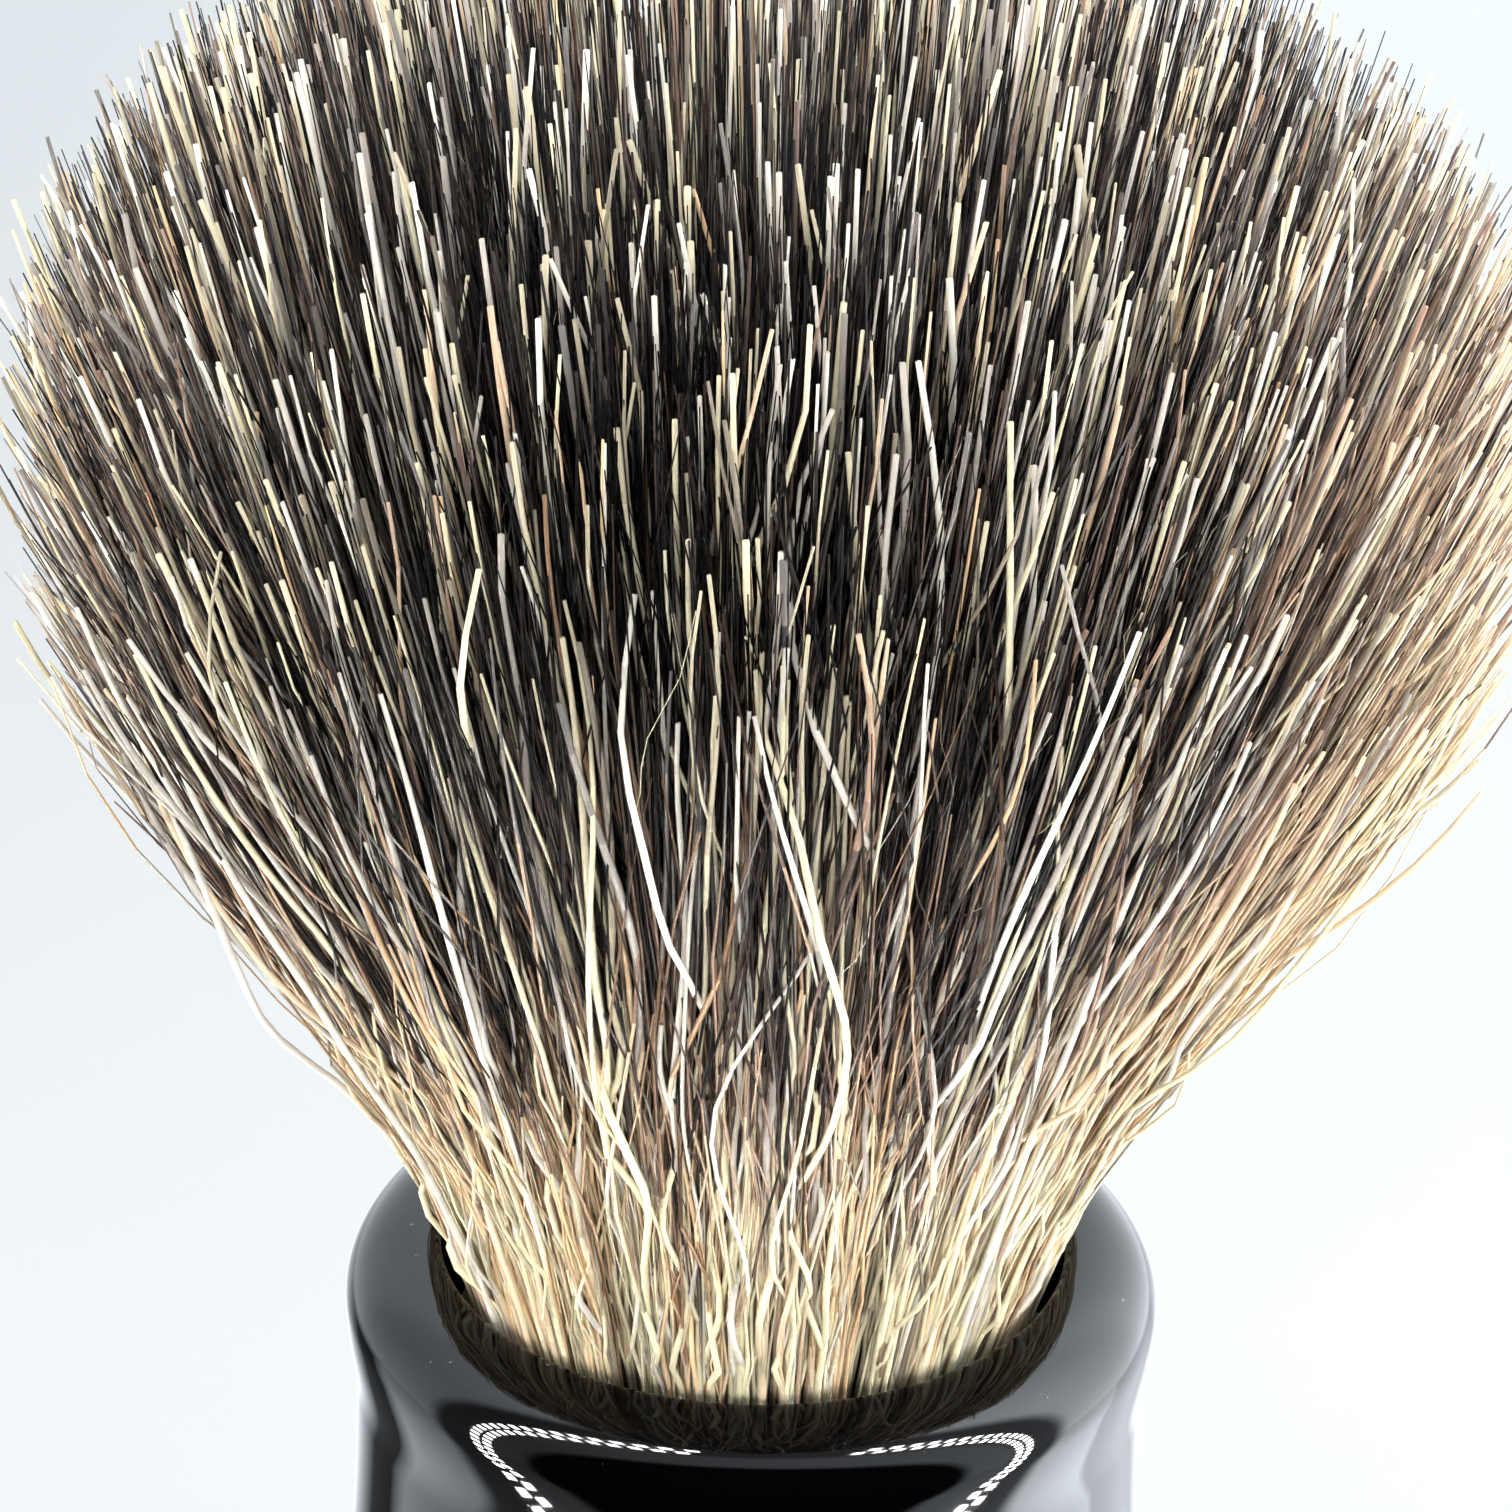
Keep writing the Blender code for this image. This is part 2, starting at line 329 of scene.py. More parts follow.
def fan(share, run, angle):
    """Radius and height of points in the knot, for arrays of share, run and angle.

    Share is 0 on the axis and 1 outside, and run is 0 at the root and 1 at the tip.
    The hair at the front (-Y) stands more upright than the rest."""
    front = np.clip(-np.sin(angle), 0, 1) ** 2
    rim_r = share * (SOCKET_RADIUS - GAP)
    polar = share * EDGE_POLAR_ANGLE
    dome = np.clip(1 - np.sin(polar) ** DOME_SQUARENESS, 0, 1) ** (1 / DOME_SQUARENESS)
    bloom_level = BLOOM_LEVEL + FRONT_RISE * front
    tip_r = BLOOM_RADIUS * (1 - FRONT_PINCH * front) * np.sin(polar)
    tip_z = HANDLE_TOP + bloom_level + (LOFT - bloom_level) * np.copysign(dome, np.cos(polar))
    reach = np.hypot(tip_r - rim_r, tip_z - HANDLE_TOP) / 3
    root_lean = share * EDGE_ROOT_LEAN * (1 - 0.3 * front)
    tip_lean = share * EDGE_TIP_LEAN * (1 - 0.3 * front)
    t = np.clip((run - ROOT_FRACTION) / (1 - ROOT_FRACTION), 0, None)
    rest = 1 - t
    weights = (rest**3, 3 * rest**2 * t, 3 * rest * t**2, t**3)
    radii = (rim_r, rim_r + reach * np.sin(root_lean), tip_r - reach * np.sin(tip_lean), tip_r)
    root_handle = HANDLE_TOP + reach * np.cos(root_lean)
    heights = (HANDLE_TOP, root_handle, tip_z - reach * np.cos(tip_lean), tip_z)
    spread_r = sum(w * r for w, r in zip(weights, radii))
    spread_z = sum(w * z for w, z in zip(weights, heights))
    root_z = HAIR_BOTTOM + (HANDLE_TOP - HAIR_BOTTOM) * run / ROOT_FRACTION
    rise = np.clip((root_z - THREAD_TOP) / (HANDLE_TOP - THREAD_TOP), 0, 1)
    bound_r = share * ROOT_RADIUS
    root_r = bound_r + (rim_r - bound_r) * rise
    inside = run < ROOT_FRACTION
    return np.where(inside, root_r, spread_r), np.where(inside, root_z, spread_z)


def disc_points(count, low, high):
    """Random points between two shares of the unit disc, which stands for the knot seen from above."""
    share = np.sqrt(rng.uniform(low**2, high**2, count))
    angle = rng.uniform(0, 2 * math.pi, count)
    return np.stack([share * np.cos(angle), share * np.sin(angle)], 1)


CLUMPS = disc_points(580, 0, 1.0)  # the tips are drawn together towards these
TUFTS = disc_points(280, 0, 1.0)  # and the roots towards these
AMBER_TUFT = rng.random(len(TUFTS)) < 0.3


def sway(points):
    """A smooth drift of the tips, so that bundles lean together here and part there."""
    x, y = points[:, 0], points[:, 1]
    drift_x = 0.044 * np.sin(11 * x + 4 * y + 0.7) + 0.032 * np.sin(21 * y - 9 * x + 2.1)
    drift_y = 0.044 * np.sin(12 * y - 5 * x + 4.2) + 0.032 * np.sin(19 * x + 8 * y + 5.3)
    return np.stack([drift_x, drift_y], 1)


def patch(points):
    """A smooth field from 0 to 1 that is high where the pale hairs lie together and low between."""
    x, y = points[:, 0], points[:, 1]
    broad = 0.3 * np.sin(16 * x + 5 * y + 1.3) * np.sin(13 * y - 6 * x + 0.4)
    return 0.5 + broad + 0.2 * np.sin(27 * x - 8 * y + 3.9)


def nearest_of(centres, points):
    """The number of the nearest centre to each point, worked out a batch at a time to save memory."""
    nearest = np.empty(len(points), int)
    batch = 2000
    for start in range(0, len(points), batch):
        chunk = points[start : start + batch]
        distance = ((chunk[:, None, :] - centres[None]) ** 2).sum(2)
        nearest[start : start + batch] = distance.argmin(1)
    return nearest


def pull_to(centres, nearest, points, strength):
    return points + (centres[nearest] - points) * strength[:, None]


def hair_stations(segments):
    """Where a hair's points lie along it (0 to 1): one under the rim, the rest closest near the root."""
    return np.concatenate([[0], 0.12 + 0.88 * np.linspace(0, 1, segments) ** 1.45])


def limited(mean, count):
    """Mostly small random sizes with this mean, the largest of them cut to two and a half times it."""
    return np.minimum(rng.exponential(mean, count), 2.5 * mean)


def strand_paths(roots, tips, reach, segments, bend, crimp, kink, curl):
    """Points along hairs, as arrays of (hair, point, xyz), and each point's distance from the rim.

    Bend is a long wave, kink one with wavelengths from curl, and crimp a short one near the root."""
    count = len(roots)
    run = hair_stations(segments)[None, :] * reach[:, None]
    blend = ease((run - 0.1) / 0.9)[..., None]
    disc = roots[:, None, :] * (1 - blend) + tips[:, None, :] * blend
    share = np.hypot(disc[..., 0], disc[..., 1])
    angle = np.arctan2(disc[..., 1], disc[..., 0])
    radius, height = fan(share, run, angle)
    outward = np.stack([np.cos(angle), np.sin(angle), np.zeros_like(angle)], 2)
    sideways = np.stack([-np.sin(angle), np.cos(angle), np.zeros_like(angle)], 2)
    points = outward * radius[..., None]
    points[..., 2] = height
    step = np.linalg.norm(np.diff(points, axis=1), axis=2)
    along = np.concatenate([np.zeros((count, 1)), np.cumsum(step, 1)], 1)
    above = along - (HANDLE_TOP - HAIR_BOTTOM)
    free = ease(above / (14 * MM))
    near_root = ease(above / (1.2 * MM)) * (1 - ease((above - 9 * MM) / (12 * MM)))
    waves = ((bend, free, (22, 50)), (kink, free, curl), (crimp, near_root, (5.5, 11)))
    for direction in (outward, sideways):
        for amount, window, wavelength in waves:
            wave = rng.uniform(*wavelength, count)[:, None] * MM
            phase = rng.uniform(0, 2 * math.pi, count)[:, None]
            offset = np.sin(2 * math.pi * above / wave + phase) * amount[:, None] * window
            points += direction * offset[..., None]
    return points, above


def tubes(points, radii, sides, flatness, twist):
    """Rings round each hair's points, and the faces between them, with a flat cap at each end."""
    count, rings = points.shape[:2]
    forward = np.gradient(points, axis=1)
    forward /= np.linalg.norm(forward, axis=2, keepdims=True)
    guide = np.broadcast_to(np.array([0.31, 0.95, 0.05]), forward.shape)
    across = np.cross(forward, guide)
    across /= np.linalg.norm(across, axis=2, keepdims=True)
    up = np.cross(forward, across)
    corner = 2 * math.pi * np.arange(sides) / sides
    c = np.cos(corner)[None, None, :]
    d = np.sin(corner)[None, None, :] * flatness[:, None, None]
    turn = twist[:, None, None]
    x = (c * np.cos(turn) - d * np.sin(turn)) * radii[..., None]
    y = (c * np.sin(turn) + d * np.cos(turn)) * radii[..., None]
    ring = points[:, :, None, :] + across[:, :, None, :] * x[..., None]
    ring = ring + up[:, :, None, :] * y[..., None]
    index = np.arange(count * rings * sides).reshape(count, rings, sides)
    nxt = np.roll(index, -1, axis=2)
    quads = np.stack([index[:, :-1], nxt[:, :-1], nxt[:, 1:], index[:, 1:]], -1)
    return ring.reshape(-1, 3), quads, index[:, 0, ::-1], index[:, -1]


def lock_of(roots):
    """The number of the lock that each root is in: 0 core, then the inner ring, then the outer one."""
    share = np.hypot(roots[:, 0], roots[:, 1])
    angle = np.arctan2(roots[:, 1], roots[:, 0]) % (2 * math.pi)
    inner = np.rint(angle / (2 * math.pi) * INNER_LOCKS).astype(int) % INNER_LOCKS
    outer = np.rint(angle / (2 * math.pi) * OUTER_LOCKS).astype(int) % OUTER_LOCKS
    ring = np.where(share < INNER_SHARE, 1 + inner, 1 + INNER_LOCKS + outer)
    return np.where(share < CORE_SHARE, 0, ring)


# ---------------------------------------------------------------- kinds of hair

# Radius, bend, kink and crimp are in mm, and curl is the range of a kink's wavelength. Root swell and taper
# are shares of the radius. Clump is how far the tips go to their clump, scatter how far they stray, and
# short how much shorter hairs are, inside and outside the knot. Hues are the shares of HAIR_HUES at the tip.
KINDS = {
    "fine": {
        "count": 12500, "sides": 3, "radius": (0.042, 0.074), "root_swell": 0.65, "taper": 0.5,
        "clump": (0.4, 0.92), "scatter": 0.06, "short": (0.04, 0.07), "hues": (0.5, 0.08, 0.34, 0.08),
        "bend": 0.36, "kink": 0.06, "crimp": 0.13, "curl": (8, 16),
    },
    "brown": {
        "count": 1800, "sides": 4, "radius": (0.05, 0.09), "root_swell": 0.4, "taper": 0.45,
        "clump": (0.1, 0.5), "scatter": 0.085, "short": (0.04, 0.07), "hues": (0.22, 0.24, 0.36, 0.18),
        "bend": 0.4, "kink": 0.06, "crimp": 0.16, "curl": (8, 16),
    },
    "guard": {
        "count": 2150, "sides": 6, "radius": (0.072, 0.155), "root_swell": 0.0, "taper": 0.32,
        "clump": (0.0, 0.35), "scatter": 0.1, "short": (0.012, 0.06), "hues": (0.46, 0.44, 0.07, 0.03),
        "bend": 0.5, "kink": 0.06, "crimp": 0.22, "curl": (8, 16),
    },
    "cover": {
        "count": 1250, "sides": 6, "radius": (0.065, 0.135), "root_swell": 0.05, "taper": 0.32,
        "clump": (0.0, 0.1), "scatter": 0.025, "short": (0.02, 0.14), "hues": (0.46, 0.44, 0.07, 0.03),
        "bend": 0.24, "kink": 0.05, "crimp": 0.17, "curl": (8, 16),
    },
    "stray": {
        "count": 120, "sides": 3, "radius": (0.016, 0.03), "root_swell": 0.0, "taper": 0.4,
        "clump": (0.0, 0.1), "scatter": 0.12, "short": (0.05, 0.12), "hues": (0.4, 0.3, 0.2, 0.1),
        "bend": 0.6, "kink": 0.3, "crimp": 0.2, "curl": (4, 9),
    },
}


def dark_tones(count):
    """Tones of the dark band: most hairs near black, some brown and a few grey-brown."""
    pick = rng.random(count)
    black = rng.uniform(0.0, 0.06, count)
    brown = rng.uniform(0.08, 0.26, count)
    pale = rng.uniform(0.26, 0.6, count)
    tone = np.where(pick < 0.67, black, np.where(pick < 0.9, brown, pale))
    return tone[:, None]


def per_hair(count):
    """Two makers of random columns, one entry for each hair: of numbers in a range, and of hits by chance."""

    def column(low, high):
        return rng.uniform(low, high, count)[:, None]

    def chance(limit):
        return rng.random(count)[:, None] < limit

    return column, chance


def guard_tone(above, length, painted_rim_light, painted_centre_shade, pale_patch):
    """Shades of the thick hairs: pale, duller above the root, darker where shade is painted at the front's
    middle and less dull where rim light is painted round the back, and some with a dark band.
    """
    column, chance = per_hair(len(painted_rim_light))
    banded = chance(0.18)
    band = np.exp(-(((above / length - column(0.45, 0.75)) / 0.16) ** 2))
    dulling_and_painted_light = column(0.0, 0.1) + chance(0.2) * column(0.05, 0.35)
    # random dulling, plus painted shade at the front's middle and painted rim light round the back and the
    # sides
    dulling_and_painted_light = dulling_and_painted_light + 0.06 * painted_centre_shade - 0.08 * painted_rim_light
    dulling_and_painted_light = dulling_and_painted_light + chance(0.6 - pale_patch) * column(0.15, 0.55)
    tone = column(0.8, 1.0) - dulling_and_painted_light * ease((above - 12 * MM) / (16 * MM))
    return tone - banded * band * column(0.25, 0.6)


def hair_tone(kind, above, length, edge, painted_rim_light, painted_centre_shade, pale_patch):
    """Shade level (0 to 1) at points along each hair, by how far the point is from the handle's rim.

    The hair at the knot's sides, most of all on the right, stays pale further up, partly in its own colour
    and partly as painted light from the brighter right: edge is how far out it is.
    The tips round the back and the sides are painted paler, as rim light: the rim light argument is how far
    round the hair is.
    The hair near the middle of the front is painted darker, as the shade deep between the tips there: the
    centre shade argument is how near it is.
    The pale hairs lie in patches: pale_patch is how far into one it is."""
    count = len(edge)
    column, chance = per_hair(count)
    edge, painted_rim_light, painted_centre_shade, pale_patch = edge[:, None], painted_rim_light[:, None], painted_centre_shade[:, None], pale_patch[:, None]
    root = np.where(chance(0.75), column(0.72, 0.98), column(0.45, 0.72))
    if kind in ("guard", "cover"):
        return guard_tone(above, length, painted_rim_light, painted_centre_shade, pale_patch)
    if kind == "stray":
        return column(0.4, 0.9) + 0 * above
    if kind == "fine":
        start, width = rng.normal(8.3, 3.1, count)[:, None] * MM, column(5, 11) * MM
        dark = dark_tones(count)
    else:
        start, width = rng.normal(9.2, 3.8, count)[:, None] * MM, column(5, 10) * MM
        dark = column(0.24, 0.56)
    # the sides turn dark later and stay paler: partly the hair's own colour, partly painted light, strongest
    # on the right
    start = start + edge * column(2, 15) * MM
    dark = dark + edge * column(0, 0.3) + 0.1 * (pale_patch - 0.5)
    paler_tips_and_rim_light = column(0, 0.24) * chance(0.45)
    turned_dark = ease((above - start) / width)
    low_band = 1 - ease((above - 20 * MM) / (11 * MM))
    tone = root + (dark - root) * turned_dark
    tone = tone + column(0, 0.19) * turned_dark * low_band
    # painted shade: the hair near the middle of the front turns darker from 23 mm up, for the shade between
    # the tips
    tone = tone * (1 - 0.66 * painted_centre_shade * ease((above - 23 * MM) / (9 * MM)))
    # paler tips: some at random, fewer in the painted centre shade, and painted rim light round the back and
    # the sides
    paler_tips_and_rim_light = paler_tips_and_rim_light * (1 - 0.85 * painted_centre_shade) + painted_rim_light * column(0, 0.7) * chance(0.76)
    return tone + paler_tips_and_rim_light * ease((above / length - 0.72) / 0.26)


COVER_SPREAD = 1.02  # the covering hairs lie just outside the rest
TIP_LIMIT = 1.035  # the furthest out that a tip goes
SHADE_JITTER = 0.028


def hair_hues(name, above, edge, tuft):
    """The number of the hue at points along each hair: at its root, where it turns dark, and beyond."""
    count = len(edge)
    tip_hue = rng.choice(len(HAIR_HUES), (count, 1), p=KINDS[name]["hues"])
    tip_hue = np.where(rng.random(count)[:, None] < 0.45 * edge[:, None], WARM, tip_hue)
    amber = rng.random(count) < np.where(AMBER_TUFT[tuft], 0.45, 0.05)
    amber = amber & (name not in ("guard", "cover"))
    root_hue = np.where(amber, AMBER, rng.choice(3, count, p=(0.15, 0.67, 0.18)))[:, None]
    if name in ("guard", "cover", "stray"):
        turn_hue = tip_hue
    else:
        turn_hue = np.where(amber, AMBER, rng.choice(3, count, p=(0.15, 0.1, 0.75)))[:, None]
    hue = np.where(above < rng.normal(7, 2.5, count)[:, None] * MM, root_hue, turn_hue)
    return np.where(above < rng.normal(21, 4, count)[:, None] * MM, hue, tip_hue)


def grow(name, low, high, segments):
    """Hairs of one kind between two shares of the knot's radius: corners, faces, shades and locks."""
    kind = KINDS[name]
    count = int(kind["count"] * (high**2 - low**2))
    roots = disc_points(count, low, high) * (COVER_SPREAD if name == "cover" else 1.0)
    share = np.hypot(roots[:, 0], roots[:, 1])
    outside = ease((share - 0.7) / 0.3)
    tips = pull_to(CLUMPS, nearest_of(CLUMPS, roots), roots, rng.uniform(*kind["clump"], count))
    tuft = nearest_of(TUFTS, roots)
    lock = lock_of(roots)
    roots = pull_to(TUFTS, tuft, roots, rng.uniform(0.15, 0.55, count))
    astray = np.clip(rng.normal(0, 1, (count, 2)), -1.7, 1.7)
    tips = tips + sway(roots) + astray * kind["scatter"]
    spread = np.hypot(tips[:, 0], tips[:, 1])
    tips = tips * (np.clip(spread, 0, TIP_LIMIT) / spread)[:, None]
    inside_short, edge_short = kind["short"]
    front = np.clip(-roots[:, 1], 0, 1) ** 2
    short = inside_short + edge_short * outside * (1 - 0.6 * front)
    short = rng.exponential(1.0, count) * short + np.abs(rng.normal(0, 0.02, count))
    reach = np.clip(1.015 - short, 0.42, 1.02)
    bend = limited(kind["bend"], count) * MM * (0.35 + share)
    kink = limited(kind["kink"], count) * MM
    crimp = limited(kind["crimp"], count) * MM * (0.35 + 0.65 * outside)
    points, above = strand_paths(roots, tips, reach, segments, bend, crimp, kink, kind["curl"])
    position = hair_stations(segments)[None, :]
    swell = 1 + kind["root_swell"] * (1 - ease(position / 0.45))
    profile = swell * (1 - kind["taper"] * ease((position - 0.75) / 0.25))
    thin, thick = kind["radius"]
    width = (thin + (thick - thin) * rng.random(count) ** 1.4)[:, None] * MM * profile
    flatness, twist = rng.uniform(0.6, 1.0, count), rng.uniform(0, math.pi, count)
    corners, quads, foot, tip = tubes(points, width, kind["sides"], flatness, twist)
    middle = (above[:, 1:] + above[:, :-1]) / 2
    across = tips[:, 0]
    # edge: how far out to the side the tip is, much more on the right, where it also carries painted light
    right, left = 1.5 * ease((across - 0.4) / 0.5), 0.35 * ease((-across - 0.65) / 0.3)
    edge = np.where(across > 0, right, left)
    # painted rim light: how far out and how far round towards the back the tip is
    painted_rim_light = ease((spread - 0.45) / 0.5) * ease((tips[:, 1] + 0.75) / 0.6)
    # painted shade: how near the tip is to the middle of the front, where the shade between the tips is
    # painted in
    painted_centre_shade = (1 - ease((np.abs(across + 0.12) - 0.15) / 0.5)) * ease((-0.05 - tips[:, 1]) / 0.4)
    tone = hair_tone(name, middle, above[:, -1:], edge, painted_rim_light, painted_centre_shade, patch(tips))
    tone = tone + rng.normal(0, SHADE_JITTER, (count, segments))
    level = np.clip(np.rint(tone * (HAIR_LEVELS - 1)), 0, HAIR_LEVELS - 1).astype(int)
    hue = hair_hues(name, middle, edge, tuft)
    return {
        "corners": corners.reshape(count, -1, 3), "quads": quads, "foot": foot, "tip": tip,
        "shades": hue * HAIR_LEVELS + level, "lock": lock,
    }


def hair_mesh(name, batches, lock, palette):
    """One mesh of all the hairs of a lock, with a material from the palette for each shade in it."""
    corners, loops, totals, shades = [], [], [], []
    base = 0
    for batch in batches:
        own = np.nonzero(batch["lock"] == lock)[0]
        if not len(own):
            continue
        corners_each = batch["corners"].shape[1]
        sides = batch["foot"].shape[1]
        shift = (base + np.arange(len(own)) * corners_each - own * corners_each)[:, None]
        corners.append(batch["corners"][own].reshape(-1, 3))
        quads = batch["quads"][own] + shift[..., None, None]
        loops.append(quads.reshape(-1))
        totals.append(np.full(quads.size // 4, 4))
        shades.append(np.repeat(batch["shades"][own], sides, axis=1).reshape(-1))
        for cap, end in ((batch["foot"], 0), (batch["tip"], -1)):
            loops.append((cap[own] + shift).reshape(-1))
            totals.append(np.full(len(own), sides))
            shades.append(batch["shades"][own, end])
        base += len(own) * corners_each
    corners, loops = np.concatenate(corners), np.concatenate(loops)
    totals, shades = np.concatenate(totals), np.concatenate(shades)
    mesh = bpy.data.meshes.new(name)
    mesh.vertices.add(len(corners))
    mesh.vertices.foreach_set("co", corners.astype(np.float32).ravel())
    mesh.loops.add(len(loops))
    mesh.loops.foreach_set("vertex_index", loops.astype(np.int32))
    mesh.polygons.add(len(totals))
    starts = np.concatenate([[0], np.cumsum(totals)[:-1]])
    mesh.polygons.foreach_set("loop_start", starts.astype(np.int32))
    used, slots = np.unique(shades, return_inverse=True)
    for shade in used:
        mesh.materials.append(palette[shade])
    mesh.polygons.foreach_set("material_index", slots.astype(np.int32))
    mesh.polygons.foreach_set("use_smooth", np.ones(len(totals), bool))
    mesh.update(calc_edges=True)
    return mesh


def add_hair():
    """Grow every kind of hair, coarser in the core where little shows, and share it out over the locks."""
    palette = hair_materials()
    batches = []
    for low, high, segments in ((0.0, CORE_SHARE, 7), (CORE_SHARE, 1.0, 12)):
        batches.append(grow("fine", low, high, segments))
        batches.append(grow("brown", low, high, segments))
        batches.append(grow("guard", low, high, 2 * segments))
    batches.append(grow("cover", 0.92, 1.0, 30))
    batches.append(grow("stray", CORE_SHARE, 1.0, 40))
    names = ["hair_core"]
    names += [f"hair_inner_{i + 1:02d}" for i in range(INNER_LOCKS)]
    names += [f"hair_outer_{i + 1:02d}" for i in range(OUTER_LOCKS)]
    for lock, node in enumerate(names):
        mesh = hair_mesh(f"{node}_strands", batches, lock, palette)
        piece = bpy.data.objects.new(f"{node}_strands", mesh)
        bpy.context.scene.collection.objects.link(piece)
        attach(piece, "root")
        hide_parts(node)


# ---------------------------------------------------------------- studio

RING_RADIUS = 185 * MM
RING_CENTRE = Vector((20 * MM, -60 * MM, HANDLE_TOP + 11 * MM))
RING_LAMPS = 72
RING_LAMP_SIZE = 8.5 * MM
RING_ROW_GAP = 12.5 * MM
RING_OPEN_ANGLE = math.radians(14)
RING_BRIGHTNESS = (48, 42)  # at the bottom and at the top
RING_MIRRORED = 4.0  # how many times brighter it is in reflections
LOW_LAMP_SIZE = (320 * MM, 120 * MM)
LOW_LAMP_WATTS = 0.69
LOW_LAMP_PLACE = (20 * MM, -260 * MM, HANDLE_TOP + 45 * MM)
CAMERA_ELEVATION = math.radians(25)
CAMERA_ROLL = math.radians(1.5)
CAMERA_DISTANCE = 137 * MM
CAMERA_TARGET = Vector((-0.33 * MM, 0, HANDLE_TOP + 17.8 * MM))


def ramp(tree, value, stops):
    """A grey that changes smoothly from stop to stop, each (position, level from 0 to 1)."""
    node = tree.nodes.new("ShaderNodeValToRGB")
    node.color_ramp.interpolation = "EASE"
    points = node.color_ramp.elements
    while len(points) < len(stops):
        points.new(0.5)
    for point, (position, level) in zip(points, stops):
        point.position = position
        point.color = (level, level, level, 1)
    tree.links.new(value, node.inputs["Fac"])
    return node.outputs["Color"]


def combine(tree, operation, first, second):
    node = tree.nodes.new("ShaderNodeMath")
    node.operation = operation
    tree.links.new(first, node.inputs[0])
    tree.links.new(second, node.inputs[1])
    return node.outputs["Value"]


def multiply(tree, first, second):
    return combine(tree, "MULTIPLY", first, second)


def larger(tree, first, second):
    return combine(tree, "MAXIMUM", first, second)


def add_world():
    """A white tent for mirror reflections, a dim even light for the rest, and pale where the camera looks.

    The tent is open and dark at the front (-Y), has a grey frame round the opening, and is bright behind."""
    world = bpy.data.worlds.new("studio")
    bpy.context.scene.world = world
    world.use_nodes = True
    tree = world.node_tree
    tent = tree.nodes["Background"]
    coords = tree.nodes.new("ShaderNodeTexCoord")
    split = tree.nodes.new("ShaderNodeSeparateXYZ")
    tree.links.new(coords.outputs["Generated"], split.inputs["Vector"])
    depth = map_range(tree, split.outputs["Y"], (-1, 1), (0, 1))
    frame_stops = ((0.215, 0.0), (0.255, 0.3), (0.33, 0.3), (0.36, 0.12), (0.46, 0.12))
    bands = ramp(tree, depth, (*frame_stops, (0.52, 1.0), (0.8, 0.6), (0.95, 0.3)))
    side = map_range(tree, split.outputs["X"], (-0.8, 0.8), (4.3, 14.6))
    low_side = map_range(tree, split.outputs["X"], (0.0, 0.8), (0.05, 0.6))
    behind = map_range(tree, split.outputs["Y"], (0.62, 0.8), (0.0, 0.6))
    above = map_range(tree, split.outputs["Z"], (-0.32, -0.18), (0.0, 1.0))
    beside = map_range(tree, split.outputs["Y"], (0.38, 0.5), (0.8, 0.0))
    shade = larger(tree, larger(tree, low_side, behind), larger(tree, above, beside))
    tree.links.new(multiply(tree, multiply(tree, bands, side), shade), tent.inputs["Strength"])
    tent.inputs["Color"].default_value = (0.88, 0.94, 1.0, 1)
    fill = tree.nodes.new("ShaderNodeBackground")
    fill.inputs["Color"].default_value = (0.95, 0.98, 1.0, 1)
    fill_side = map_range(tree, split.outputs["X"], (-0.8, 0.8), (0.16, 0.65))
    fill_above = map_range(tree, split.outputs["Z"], (0.1, 1), (0.7, 3.2))
    tree.links.new(multiply(tree, fill_side, fill_above), fill.inputs["Strength"])
    seen = tree.nodes.new("ShaderNodeBackground")
    seen.inputs["Color"].default_value = (0.86, 0.89, 0.92, 1)
    path = tree.nodes.new("ShaderNodeLightPath")
    lit = tree.nodes.new("ShaderNodeMixShader")
    tree.links.new(path.outputs["Is Glossy Ray"], lit.inputs["Fac"])
    tree.links.new(fill.outputs["Background"], lit.inputs[1])
    tree.links.new(tent.outputs["Background"], lit.inputs[2])
    mix = tree.nodes.new("ShaderNodeMixShader")
    tree.links.new(path.outputs["Is Camera Ray"], mix.inputs["Fac"])
    tree.links.new(lit.outputs["Shader"], mix.inputs[1])
    tree.links.new(seen.outputs["Background"], mix.inputs[2])
    tree.links.new(mix.outputs["Shader"], tree.nodes["World Output"].inputs["Surface"])


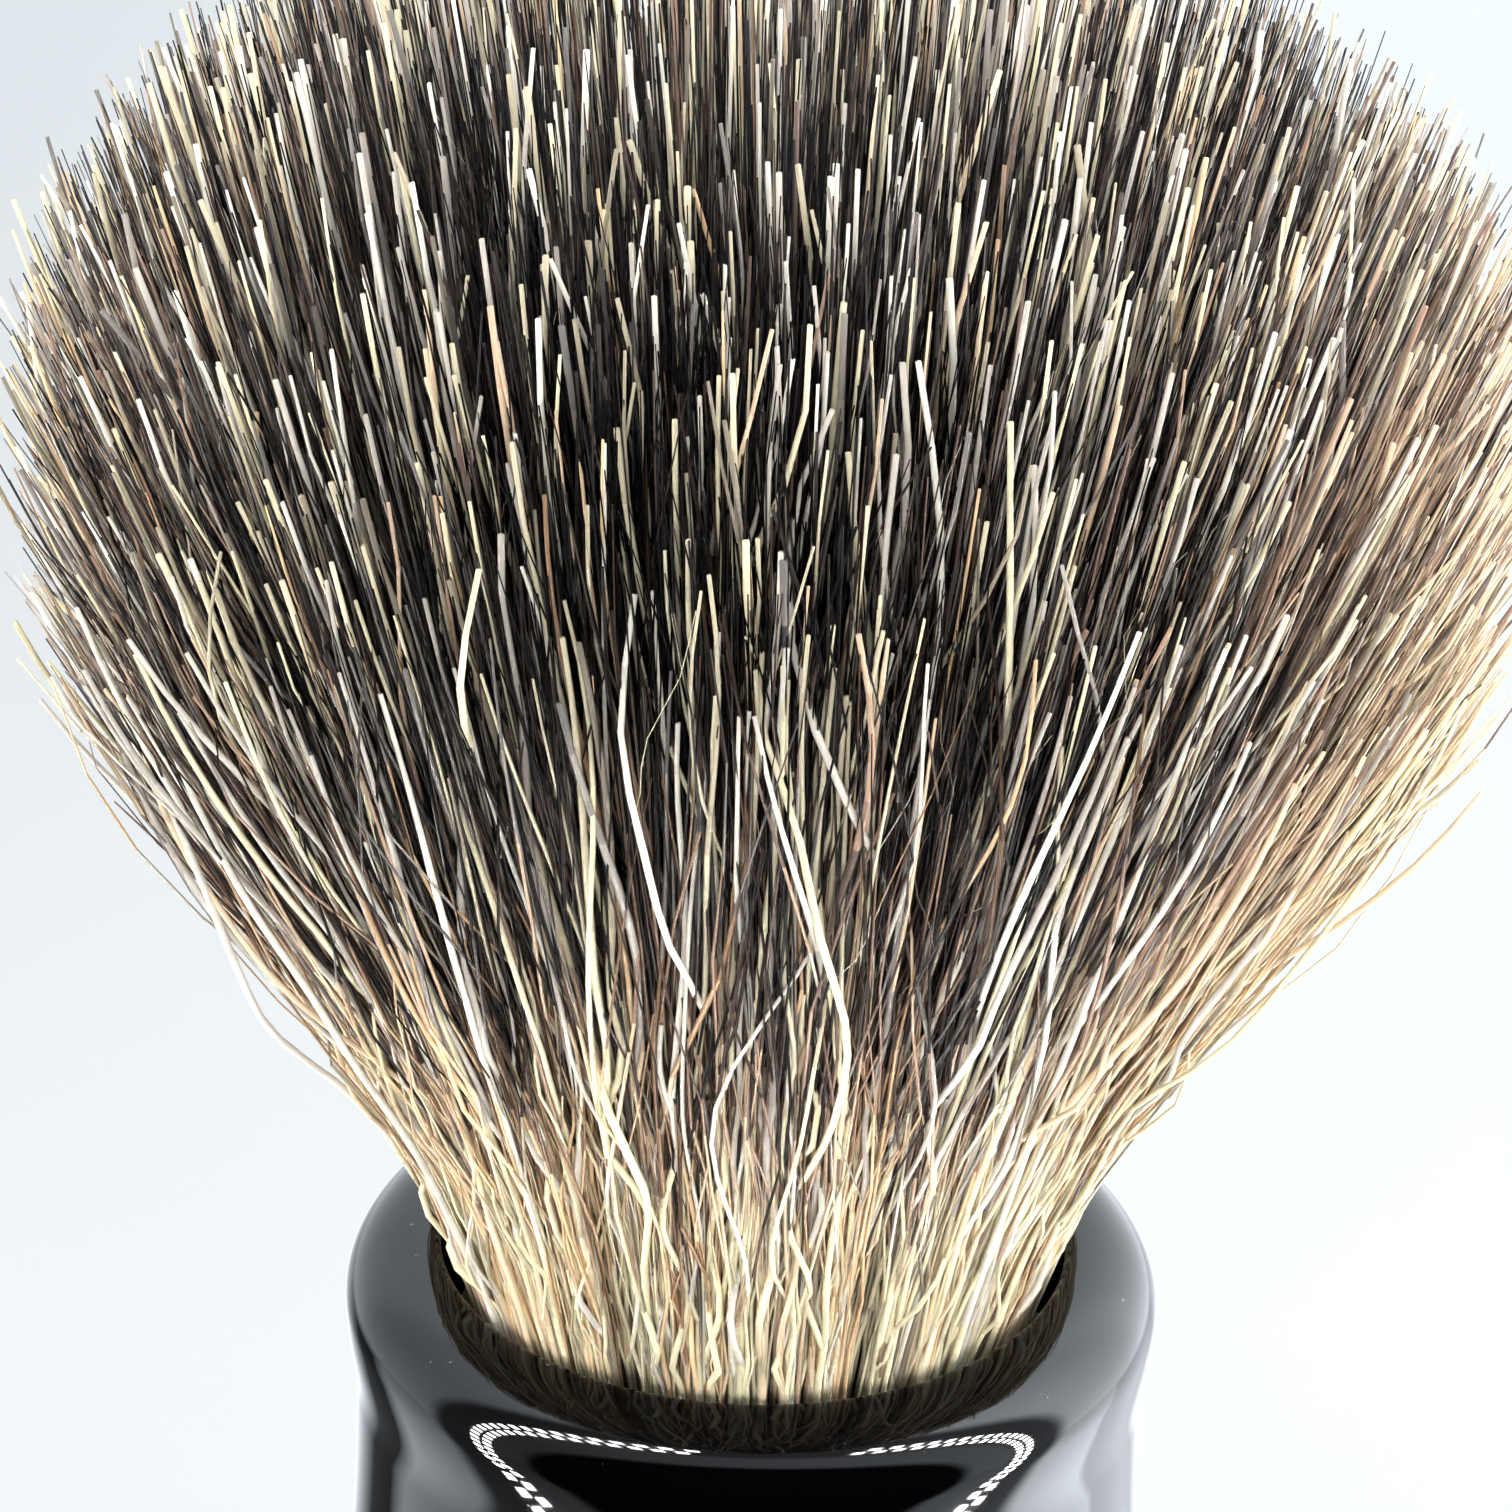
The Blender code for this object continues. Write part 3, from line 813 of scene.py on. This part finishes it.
def add_ring_light():
    """Two rows of small flat lamps round the tent's opening, facing the brush, dimmer towards the top.

    A few lamps are left out at the very top."""
    made, tree, shader = new_material("ring_lamp")
    shader.inputs["Base Color"].default_value = (0, 0, 0, 1)
    shader.inputs["Emission Color"].default_value = (1.0, 0.96, 0.91, 1)
    coords = tree.nodes.new("ShaderNodeTexCoord")
    split = tree.nodes.new("ShaderNodeSeparateXYZ")
    tree.links.new(coords.outputs["Generated"], split.inputs["Vector"])
    height = map_range(tree, split.outputs["Z"], (0.35, 0.85), RING_BRIGHTNESS)
    side = map_range(tree, split.outputs["X"], (0.1, 0.9), (0.9, 1.3))
    path = tree.nodes.new("ShaderNodeLightPath")
    mirrored = map_range(tree, path.outputs["Is Glossy Ray"], (0, 1), (1, RING_MIRRORED))
    tree.links.new(multiply(tree, multiply(tree, height, side), mirrored), shader.inputs["Emission Strength"])
    target = Vector((0, 0, HANDLE_TOP + 15 * MM))
    corners, faces = [], []
    for i in range(RING_LAMPS):
        for row in (-0.5, 0.5):
            angle = 2 * math.pi * (i + row / 2) / RING_LAMPS
            if abs(angle - math.pi / 2) < RING_OPEN_ANGLE:
                continue
            outward = Vector((math.cos(angle), 0, math.sin(angle)))
            along = Vector((-math.sin(angle), 0, math.cos(angle)))
            place = RING_CENTRE + outward * RING_RADIUS + Vector((0, row * RING_ROW_GAP, 0))
            facing = (target - place).normalized()
            across = along.cross(facing).normalized()
            length = across.cross(facing).normalized() * RING_LAMP_SIZE / 2
            width = across * RING_LAMP_SIZE / 2
            faces.append(tuple(range(len(corners), len(corners) + 4)))
            corners += [place - length - width, place + length - width]
            corners += [place + length + width, place - length + width]
    mesh = bpy.data.meshes.new("ring_light")
    mesh.from_pydata(corners, [], faces)
    mesh.materials.append(made)
    ring = bpy.data.objects.new("ring_light", mesh)
    bpy.context.scene.collection.objects.link(ring)
    ring.visible_camera = False
    ring.visible_shadow = False


def add_low_lamp():
    """A soft lamp low in front, like light that a pale table sends up under the hair."""
    data = bpy.data.lights.new("low_lamp", "AREA")
    data.shape = "RECTANGLE"
    data.size, data.size_y = LOW_LAMP_SIZE
    data.energy = LOW_LAMP_WATTS
    data.color = (1.0, 0.97, 0.92)
    lamp = bpy.data.objects.new("low_lamp", data)
    lamp.location = LOW_LAMP_PLACE
    aim = Vector((0, 0, HANDLE_TOP + 5 * MM)) - lamp.location
    lamp.rotation_euler = aim.to_track_quat("-Z", "Y").to_euler()
    lamp.visible_glossy = False
    lamp.visible_camera = False
    bpy.context.scene.collection.objects.link(lamp)


def add_floor():
    """A wide floor that glows as painted light, a little brighter on the right, that only the camera sees."""
    mesh = bpy.data.meshes.new("floor")
    half = 6.0
    corners = [(-half, -half, 0), (half, -half, 0), (half, half, 0), (-half, half, 0)]
    mesh.from_pydata(corners, [], [(0, 1, 2, 3)])
    floor = bpy.data.objects.new("floor", mesh)
    made, tree, shader = new_material("glowing_floor")
    shader.inputs["Base Color"].default_value = (0.36, 0.375, 0.385, 1)
    shader.inputs["Emission Color"].default_value = (0.95, 0.98, 1.0, 1)
    shader.inputs["Roughness"].default_value = 0.7
    coords = tree.nodes.new("ShaderNodeTexCoord")
    split = tree.nodes.new("ShaderNodeSeparateXYZ")
    tree.links.new(coords.outputs["Object"], split.inputs["Vector"])
    # painted light: the floor glows, brighter towards the right
    painted_floor_light = map_range(tree, split.outputs["X"], (-80 * MM, 80 * MM), (0.22, 0.38))
    tree.links.new(painted_floor_light, shader.inputs["Emission Strength"])
    mesh.materials.append(made)
    bpy.context.scene.collection.objects.link(floor)
    floor.visible_glossy = False
    floor.visible_diffuse = False


def add_camera():
    """A long lens close to the hair, looking down at it from the front."""
    lens = bpy.data.cameras.new("camera")
    lens.sensor_width = 36
    lens.lens = 100
    lens.clip_start = 0.005
    camera = bpy.data.objects.new("camera", lens)
    away = Vector((0, -math.cos(CAMERA_ELEVATION), math.sin(CAMERA_ELEVATION)))
    camera.location = CAMERA_TARGET + CAMERA_DISTANCE * away
    facing = (camera.location - CAMERA_TARGET).to_track_quat("Z", "Y")
    roll = Matrix.Rotation(CAMERA_ROLL, 4, "Z")
    camera.rotation_euler = (facing.to_matrix().to_4x4() @ roll).to_euler()
    bpy.context.scene.collection.objects.link(camera)
    bpy.context.scene.camera = camera


bpy.context.scene.view_settings.view_transform = "Standard"
add_camera()
add_world()
add_ring_light()
add_low_lamp()
add_floor()
add_handle()
finish_inner_parts()
add_hair()
